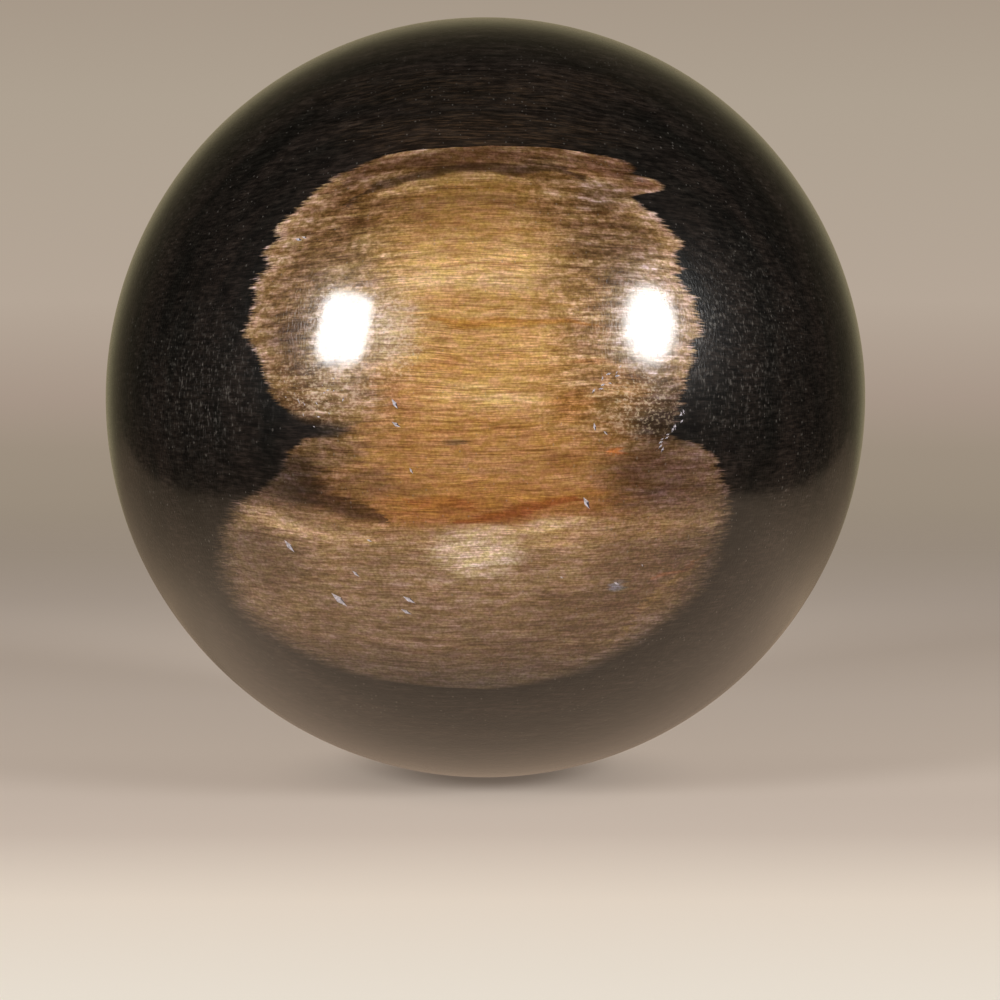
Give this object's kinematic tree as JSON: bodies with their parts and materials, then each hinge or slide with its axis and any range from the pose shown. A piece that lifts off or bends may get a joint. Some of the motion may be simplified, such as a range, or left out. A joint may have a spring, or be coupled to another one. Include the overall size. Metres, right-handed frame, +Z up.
{
  "type": "petrified wood sphere",
  "caption": "Solid polished ball of petrified wood, black with a pale honey heart and fine parallel grain, for display on a ring or cup stand, as a paperweight or as a bench reference ball",
  "frame": {"origin": "the centre of the ball", "axes": "+Z is up as the ball is shown, -Y faces the viewer and passes through the pale heart, and the wood fibres lie along X"},
  "size_m": [0.11, 0.11, 0.11],
  "materials": {
    "petrified_wood": "polished"
  },
  "bodies": {
    "root": {"petrified_wood_ball": "petrified_wood"}
  },
  "joints": []
}
